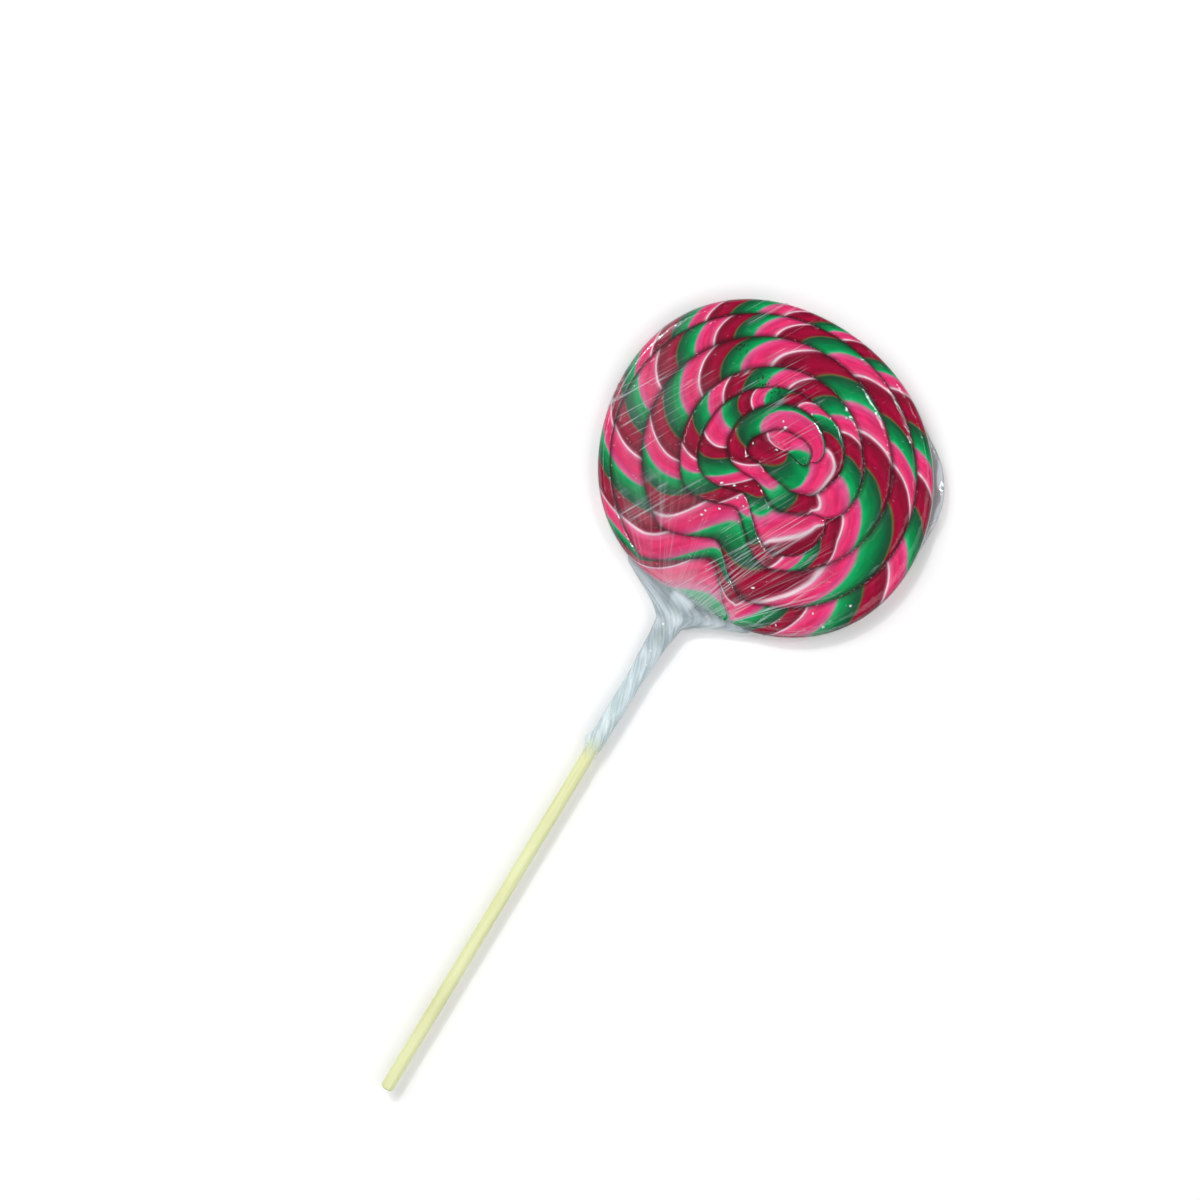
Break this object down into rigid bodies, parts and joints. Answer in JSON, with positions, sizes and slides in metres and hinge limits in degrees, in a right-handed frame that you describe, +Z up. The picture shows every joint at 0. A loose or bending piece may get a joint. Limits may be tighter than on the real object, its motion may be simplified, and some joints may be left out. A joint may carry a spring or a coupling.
{
  "type": "swirl lollipop",
  "caption": "Large flat swirl lollipop: coiled twisted sugar rope on a round wooden stick, sealed in clear film with a twisted sleeve and a side ear.",
  "frame": {"origin": "under the middle of the candy disc, on the resting plane", "axes": "+Y along the stick from its free end towards the disc, +Z up out of the shown face"},
  "size_m": [0.1594, 0.4011, 0.0139],
  "materials": {
    "candy_sugar": "hard boiled sugar, glossy, striped pink, green, crimson and white",
    "stick_wood": "plain pale birch dowel, matt",
    "film_clear": "clear glossy film, creased at the neck"
  },
  "bodies": {
    "root": {"candy": "candy_sugar", "stick": "stick_wood", "film_wrapper": "film_clear"}
  },
  "joints": []
}
